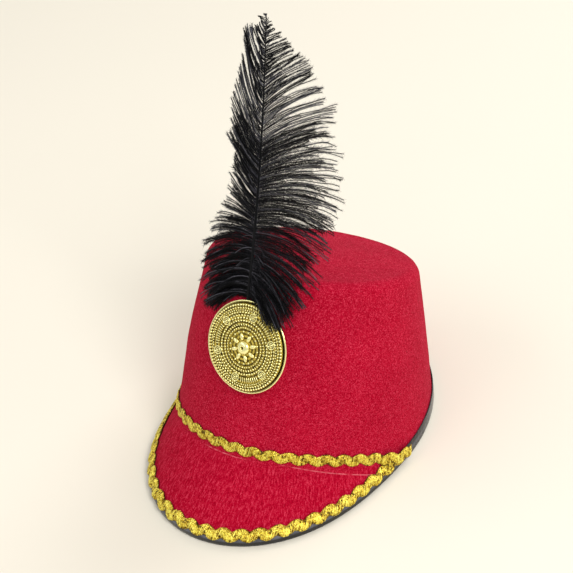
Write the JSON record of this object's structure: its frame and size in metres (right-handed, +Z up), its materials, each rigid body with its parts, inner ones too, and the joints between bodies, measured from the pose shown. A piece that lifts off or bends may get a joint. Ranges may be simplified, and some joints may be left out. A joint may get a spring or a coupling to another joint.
{
  "type": "marching band hat",
  "caption": "Red felt marching band hat with a moulded peak, bound edge, gold wavy braid, a round gold medallion and a black plume.",
  "frame": {"origin": "middle of the overall length and width, on the surface that the bound edge rests on", "axes": "+Z up from the surface, -Y towards the peak, +X towards the wearer's left"},
  "size_m": [0.1882, 0.2492, 0.2986],
  "materials": {
    "red_felt": "needle felt, matt, fine fibres",
    "black_tape": "glossy coated tape",
    "gold_braid": "metallic yarn",
    "gold_casting": "bright gold with darker hollows",
    "black_feather": "soft, slight sheen"
  },
  "bodies": {
    "root": {"felt_shell": "red_felt", "edge_binding": "black_tape", "crease_braid": "gold_braid", "peak_braid": "gold_braid", "medallion": "gold_casting", "plume": "black_feather"}
  },
  "joints": []
}
